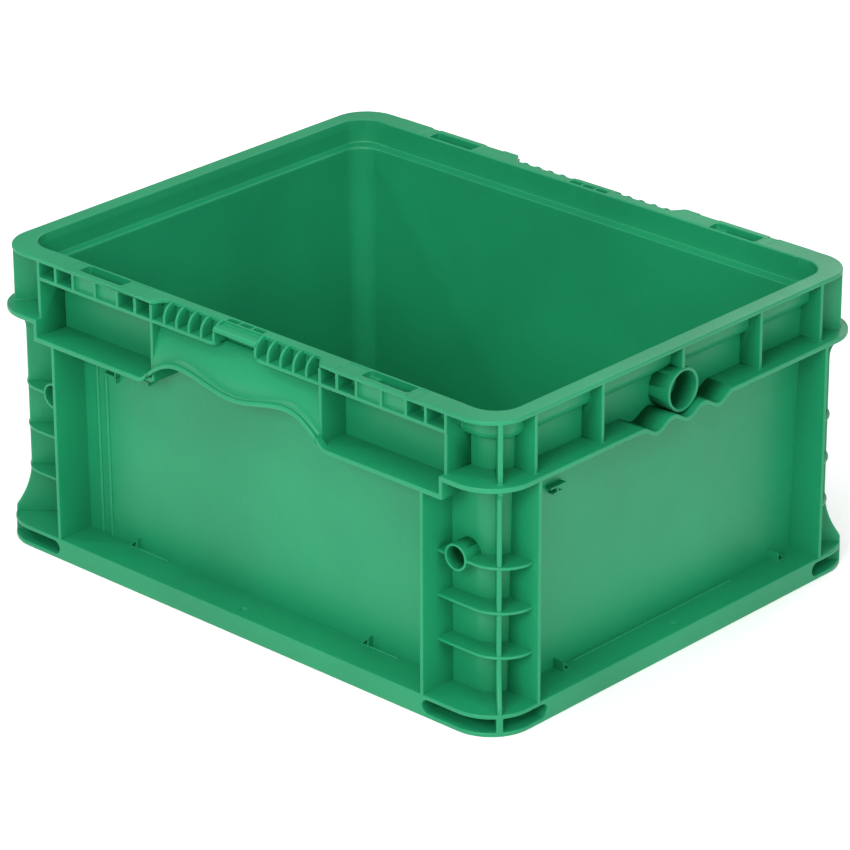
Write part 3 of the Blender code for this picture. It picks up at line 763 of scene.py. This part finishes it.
def make_flanges():
    """One bent sheet from the pocket shelf, up to the shoulder and on to the scallops."""
    low = SHELF_LOW
    shelf_end = 62.2
    lip_x = 71.0        # from here to the hand-hold the shelf's outer strip curls up
    lip_run = 8.0
    strip_end = 76.0
    curl = [lip_x - lip_run * i / 8 for i in range(9)]
    rise = [(x, low + 6.5 * ((lip_x - x) / lip_run) ** 2) for x in curl]
    inner = STEP_X - RIB
    under = [(170.0, SHOULDER_LOW), (STEP_X, SHOULDER_LOW), (STEP_X, low), (shelf_end, low)]
    over = [(shelf_end, SHELF_TOP), (inner, SHELF_TOP), (inner, SHOULDER_TOP), (170.0, SHOULDER_TOP)]
    sheet = prism(under + over, DEEP, OUT_Y, ALONG_Y)
    notch_low = (60.0, RIM_Y - 0.2, low - 1.0)
    subtract(sheet, box(notch_low, (lip_x - 0.1, OUT_Y + 1.0, SHELF_TOP + 1.0)))
    strip = [(strip_end, low)] + rise + [(x - 0.3, z + SHEET) for x, z in reversed(rise)]
    strip += [(strip_end, SHELF_TOP)]
    union(sheet, prism(strip, RIM_Y - 0.8, OUT_Y, ALONG_Y))
    left = STEP_X - 1.0
    outline = [(END_ROOT, 50.0), (OUT_X, 50.0)]
    outline += arc((OUT_X - FLANGE_R, OUT_Y - FLANGE_R), FLANGE_R, 0, 90, 14)
    outline += [(left, OUT_Y), (left, DEEP), (END_ROOT, DEEP)]
    plan = prism(outline, SHOULDER_LOW, SHOULDER_TOP)
    subtract(sheet, box((END_DEEP, 90.0, low - 5), (BEYOND_X, BEYOND_Y, SHOULDER_TOP + 5)))
    wave = [-PAST + (60.0 + PAST) * i / 96 for i in range(97)]
    line = [(y, SHOULDER_TOP - scallop(y)) for y in wave]
    line += [(y, SHOULDER_LOW - scallop(y)) for y in reversed(wave)]
    end = prism(line, END_DEEP, OUT_X, ALONG_X)
    flange = union(sheet, plan, end)
    base = SHOULDER_TOP - 1.0
    top = TOP - 1.2
    for y in END_RIBS_Y:
        union(flange, box((END_DEEP, y - RIB / 2, base), (RIM_X - 0.1, y + RIB / 2, top)))
    union(flange, box((inner, DEEP, SHELF_TOP - 1.0), (STEP_X, RIM_Y - 0.1, CELL_LOW + 1.0)))
    union(flange, corner_fin(base, top))
    subtract(flange, tub_core())
    soften(flange, rooted=True)
    end_cuts = [(1, SEAM_Y, 1), (0, END_ROOT, -1), (1, 0.0, -1)]
    publish_set(clip(flange, end_cuts), "end_flange", PAIR_X)
    corner = clip(flange, [(1, SEAM_Y, -1), (0, STEP_X + 0.1, -1)])
    publish_set(corner, "shoulder", CORNERS)
    publish_set(clip(flange, [(0, STEP_X + 0.1, 1), (0, 63.6, -1)]), "pocket_shelf", CORNERS)


def corner_fin(low, high):
    """Upright fin on the corner's diagonal, flush with the rim's outline."""
    fin = box((0.0, -FIN_HALF, low), (60.0, FIN_HALF, high))
    onto_diagonal(fin)
    outline = quarter(RIM_X - 0.1, RIM_Y - 0.1, RIM_R)
    return combine(fin, prism(outline, low - 1, high + 1), "INTERSECT")


def make_ring_boss():
    """Ring on an end, with the web that hangs it under the rim."""
    centre = (0.0, RING_Z)
    tube = prism(disc(centre, RING_OUTER, 40), RING_ROOT, RIM_X - 0.1, ALONG_X)
    web_low = (RING_ROOT, -RIB / 2, RING_Z + 11.0)
    union(tube, box(web_low, (RIM_X - 0.3, RIB / 2, TOP - 1.2)))
    subtract(tube, prism(disc(centre, RING_BORE, 40), END_DEEP, BEYOND_X, ALONG_X))
    subtract(tube, tub_core())
    soften(tube, 0.5, rooted=True)
    for place, flip_x, flip_y in PAIR_X:
        publish(mesh_of(tube), "ring_boss_" + place, flip_x, flip_y)


# ---------------------------------------------------------------- corner post
def post_plan():
    """Plan of a post shelf, just inside the outline of the posts."""
    edge_x = POST_EDGE_X - 0.2
    edge_y = POST_EDGE_Y - 0.2
    root_x, root_y = POST_ROOT
    bend = arc((POST_EDGE_X - POST_R, POST_EDGE_Y - POST_R), POST_R - 0.2, 0, 90, 12)
    return [(edge_x, root_y)] + bend + [(root_x, edge_y), (root_x, root_y)]


def post_fin_side():
    """Side view of the diagonal fin: flared into the flanges above and below it."""
    low = BASE_TOP - 1.0
    high = SHOULDER_LOW + 1.0
    slim = 28.6
    wide = 38.0
    foot = []
    for i in range(9):
        t = i / 8
        foot.append((slim + (wide - slim) * (1 - t) ** 2.2, low + 4.5 + 29.0 * t))
    head = arc((slim + 13.0, high - 15.0), 13.0, 180, 115, 6)
    return [(0.0, low), (wide, low)] + foot + head + [(wide - 1.0, high), (0.0, high)]


def make_post():
    """Diagonal fin, two side ribs and three curved shelves, each rounded by itself."""
    fin = prism(post_fin_side(), -FIN_HALF, FIN_HALF, ALONG_Y)
    onto_diagonal(fin)
    low = BASE_TOP - 1.0
    uprights = [fin]
    uprights.append(box((137.6, 110.0, low), (139.8, OUT_Y - 0.1, SHELF_LOW + 1.0)))
    uprights.append(box((150.0, 116.4, low), (OUT_X - 0.1, 118.6, SHOULDER_LOW + 1.0)))
    parts = []
    for upright, round_off in zip(uprights, (1.05, 0.6, 0.6)):
        subtract(upright, tub_core())
        parts.append(mesh_of(soften(upright, round_off, 3, rooted=True)))
    centre = (SMALL_RING_X, SMALL_RING_Z)
    for i, z in enumerate(POST_SHELVES):
        shelf = prism(post_plan(), z - 0.9, z + 0.9)
        if i == 0:
            subtract(shelf, prism(disc(centre, SMALL_RING_SEAT, 24), DEEP, BEYOND_Y, ALONG_Y))
        subtract(shelf, tub_core())
        parts.append(mesh_of(soften(shelf, 0.55, rooted=True)))
    publish_set(welded(parts), "corner_post", CORNERS)
    tube = prism(disc(centre, SMALL_RING_OUTER, 32), 110.0, POST_EDGE_Y, ALONG_Y)
    subtract(tube, prism(disc(centre, SMALL_RING_BORE, 32), DEEP, BEYOND_Y, ALONG_Y))
    subtract(tube, tub_core())
    publish_set(mesh_of(soften(tube, 0.4, rooted=True)), "post_ring", CORNERS)


# ---------------------------------------------------------------- base flange
def make_base():
    """Hollow flange round the foot, with a curved slot through each corner."""
    floor = BASE_SKIN
    roof = BASE_TOP - BASE_SKIN
    base = prism(quarter(OUT_X, OUT_Y, FLANGE_R, 14), 0.0, BASE_TOP)
    inner_x = OUT_X - BASE_SKIN
    inner_y = OUT_Y - BASE_SKIN
    subtract(base, box((-PAST - 1, -PAST - 1, -1.0), (136.8, inner_y, roof)))
    subtract(base, box((DEEP, -PAST - 1, -1.0), (inner_x, 108.8, roof)))
    mid = BASE_TOP / 2
    half = mid - BASE_SKIN
    end_x = 143.0
    end_y = 115.0
    slot = box((end_x, end_y, floor), (BEYOND_X, BEYOND_Y, roof))
    union(slot, prism(disc((end_x, mid), half, 20), DEEP, BEYOND_Y, ALONG_Y))
    union(slot, prism(disc((end_y, mid), half, 20), 130.0, BEYOND_X, ALONG_X))
    web = box((0.0, -1.9, 0.0), (60.0, 1.9, BASE_TOP))
    onto_diagonal(web)
    subtract(slot, web)
    subtract(base, slot)
    subtract(base, tub_core())
    for drain in DRAINS:
        subtract(base, prism(disc(drain, DRAIN_R, 20), BASE_TOP - 1.0, BASE_TOP + 1.0))
    soften(base, 0.7, rooted=True)
    long_cuts = [(0, BASE_SEAM_X, 1), (0, 0.0, -1), (1, DEEP, -1)]
    end_cuts = [(1, BASE_SEAM_Y, 1), (1, 0.0, -1), (0, DEEP, -1)]
    corner_cuts = [(0, BASE_SEAM_X, -1), (1, BASE_SEAM_Y, -1)]
    publish_set(clip(base, long_cuts), "base_flange", PAIR_Y)
    publish_set(clip(base, end_cuts), "base_flange", PAIR_X)
    publish_set(clip(base, corner_cuts), "base_corner", CORNERS)


# ---------------------------------------------------------------- card clips and strips
def hooded_clip(place, wall, low):
    """Small triangular hood against a long wall, open to the outside."""
    outer = [(place - 6.0, low - 0.3), (place + 1.0, low - 0.3), (place + 1.0, low + 6.0)]
    inner = [(place - 3.8, low + 0.6), (place, low + 0.6), (place, low + 4.2)]
    hood = prism(outer, wall - 2.0, wall + 3.6, ALONG_Y)
    subtract(hood, prism(inner, wall + 0.8, wall + 9.0, ALONG_Y))
    return mesh_of(soften(hood, 0.25))


def end_clip(place, wall):
    """The same kind of hood against an end wall."""
    outer = [(place - 1.0, BASE_TOP - 0.3), (place + 5.5, BASE_TOP - 0.3), (place - 1.0, 18.6)]
    inner = [(place, 13.4), (place + 3.6, 13.4), (place, 16.8)]
    hood = prism(outer, wall - 2.0, wall + 7.5, ALONG_X)
    subtract(hood, prism(inner, wall + 2.0, wall + 12.0, ALONG_X))
    return mesh_of(soften(hood, 0.25))


def bar(low, high):
    """Softly rounded little bar."""
    return mesh_of(soften(box(low, high), 0.35))


def upright_strip(place):
    """Slim strip up a long wall, from the base flange to the pocket shelf."""
    foot = tub_half(BASE_TOP)[1]
    head = tub_half(SHELF_LOW)[1]
    side = [(foot - HALF_WALL, BASE_TOP - 0.5), (foot + 1.1, BASE_TOP - 0.5)]
    side += [(head + 1.1, SHELF_LOW + 0.5), (head - HALF_WALL, SHELF_LOW + 0.5)]
    return mesh_of(soften(prism(side, place - 1.2, place + 1.2, ALONG_X), 0.9, 3))


def long_side_details():
    """Card clips at the foot and under the flange, and the two upright strips."""
    foot = tub_half(BASE_TOP)[1]
    head = tub_half(HOOK_Z)[1]
    root = head - HALF_WALL
    parts = []
    for x, run in ((-98.0, 25.0), (80.5, 22.0)):
        parts.append(hooded_clip(x, foot, BASE_TOP))
        parts.append(bar((x, foot + 2.2, BASE_TOP - 0.5), (x + run, foot + 3.2, BASE_TOP + 0.7)))
    for x in (-127.2, -120.0):
        parts.append(upright_strip(x))
    parts.append(bar((-118.7, root, 113.0), (-109.5, head + 3.0, 114.2)))
    parts.append(bar((-110.6, root, 110.0), (-109.5, head + 3.0, 118.0)))
    parts.append(bar((-86.0, root, 119.2), (-79.5, head + 3.6, 120.4)))
    parts.append(bar((-84.0, root, 116.6), (-82.8, head + 3.6, 120.0)))
    return welded(parts)


def short_side_details():
    """Card clips and the long low rail of the right end."""
    foot = tub_half(BASE_TOP)[0]
    head = tub_half(HOOK_Z)[0]
    root = head - HALF_WALL
    parts = [bar((foot + 2.0, -70.0, BASE_TOP - 0.5), (foot + 3.0, 62.0, BASE_TOP + 0.6))]
    for y in (-82.0, 98.0):
        parts.append(end_clip(y, foot))
    parts.append(bar((root, -93.5, 121.6), (head + 4.0, -81.0, 122.8)))
    parts.append(bar((root, -91.0, 118.2), (head + 4.0, -84.0, 119.3)))
    parts.append(bar((root, -88.2, 118.5), (head + 4.0, -87.0, 122.0)))
    return welded(parts)


def make_details():
    """The same details stand on opposite sides, turned half round."""
    long_side = mirrored(long_side_details(), 1, -1)
    short_side = short_side_details()
    for place, flip in (("front", 1), ("back", -1)):
        publish(long_side, "card_clips_" + place, flip, flip, stands_for_node=False)
    for place, flip in (("right", 1), ("left", -1)):
        publish(short_side, "card_clips_" + place, flip, flip, stands_for_node=False)


# ---------------------------------------------------------------- studio
def make_floor_plane():
    """Plain pale floor, a little bright by itself so that it stays pale."""
    mesh = bpy.data.meshes.new("studio_floor")
    shape = bmesh.new()
    bmesh.ops.create_grid(shape, x_segments=1, y_segments=1, size=6.0)
    shape.to_mesh(mesh)
    shape.free()
    plane = bpy.data.objects.new("studio_floor", mesh)
    bpy.context.scene.collection.objects.link(plane)
    material = bpy.data.materials.new("studio_floor")
    material.use_nodes = True
    shader = material.node_tree.nodes["Principled BSDF"]
    shader.inputs["Base Color"].default_value = (0.93, 0.93, 0.93, 1.0)
    shader.inputs["Emission Color"].default_value = (1.0, 1.0, 1.0, 1.0)
    shader.inputs["Emission Strength"].default_value = 0.16
    shader.inputs["Roughness"].default_value = 0.8
    mesh.materials.append(material)


def area_light(name, place, size, watts):
    """Soft light at a place, turned towards the crate."""
    aim = Vector((0.0, 0.0, 0.08))
    data = bpy.data.lights.new(name, "AREA")
    data.energy = watts
    data.shape = "RECTANGLE"
    data.size = size[0]
    data.size_y = size[1]
    lamp = bpy.data.objects.new(name, data)
    lamp.location = place
    lamp.rotation_mode = "QUATERNION"
    lamp.rotation_quaternion = (Vector(place) - aim).to_track_quat("Z", "Y")
    bpy.context.scene.collection.objects.link(lamp)


def make_studio():
    """Soft surroundings, four broad lights and two small ones that glint on edges."""
    world = bpy.data.worlds.new("studio")
    world.use_nodes = True
    background = world.node_tree.nodes["Background"]
    background.inputs["Color"].default_value = (1.0, 1.0, 1.0, 1.0)
    background.inputs["Strength"].default_value = 0.36
    bpy.context.scene.world = world
    area_light("key", (0.9, -2.4, 1.5), (1.4, 1.0), 49.0)
    area_light("side", (2.6, -0.4, 1.1), (0.9, 0.9), 21.0)
    area_light("top", (0.1, -0.5, 2.4), (1.8, 1.8), 24.0)
    area_light("back", (-0.7, 2.4, 1.7), (1.4, 1.0), 26.0)
    area_light("glint_left", (-1.3, -0.9, 1.5), (0.16, 0.16), 6.0)
    area_light("glint_right", (1.5, -1.3, 1.9), (0.16, 0.16), 6.0)


def make_camera():
    """The photograph's viewing angle; the distances are in metres."""
    target = Vector((-0.00820, 0.00890, 0.06914))
    distance = 2.546
    turn = math.radians(42.95)
    lift = math.radians(24.20)
    roll = math.radians(-0.165)
    flat = math.cos(lift)
    back = Vector((math.sin(turn) * flat, -math.cos(turn) * flat, math.sin(lift)))
    data = bpy.data.cameras.new("camera")
    data.sensor_width = 36.0
    data.lens = 191.8
    data.clip_end = 50.0
    camera = bpy.data.objects.new("camera", data)
    camera.location = target + back * distance
    camera.rotation_mode = "QUATERNION"
    rolled = Quaternion((0.0, 0.0, 1.0), roll)
    camera.rotation_quaternion = back.to_track_quat("Z", "Y") @ rolled
    bpy.context.scene.collection.objects.link(camera)
    bpy.context.scene.camera = camera
    bpy.context.scene.view_settings.view_transform = "Standard"


make_sweep()
make_floor()
make_long_rim()
make_hand_hold()
make_grip()
make_flanges()
make_ring_boss()
make_post()
make_base()
make_details()
for leftover in list(WORK.objects):
    bpy.data.objects.remove(leftover)
bpy.data.collections.remove(WORK)
make_floor_plane()
make_studio()
make_camera()
bpy.context.view_layer.update()
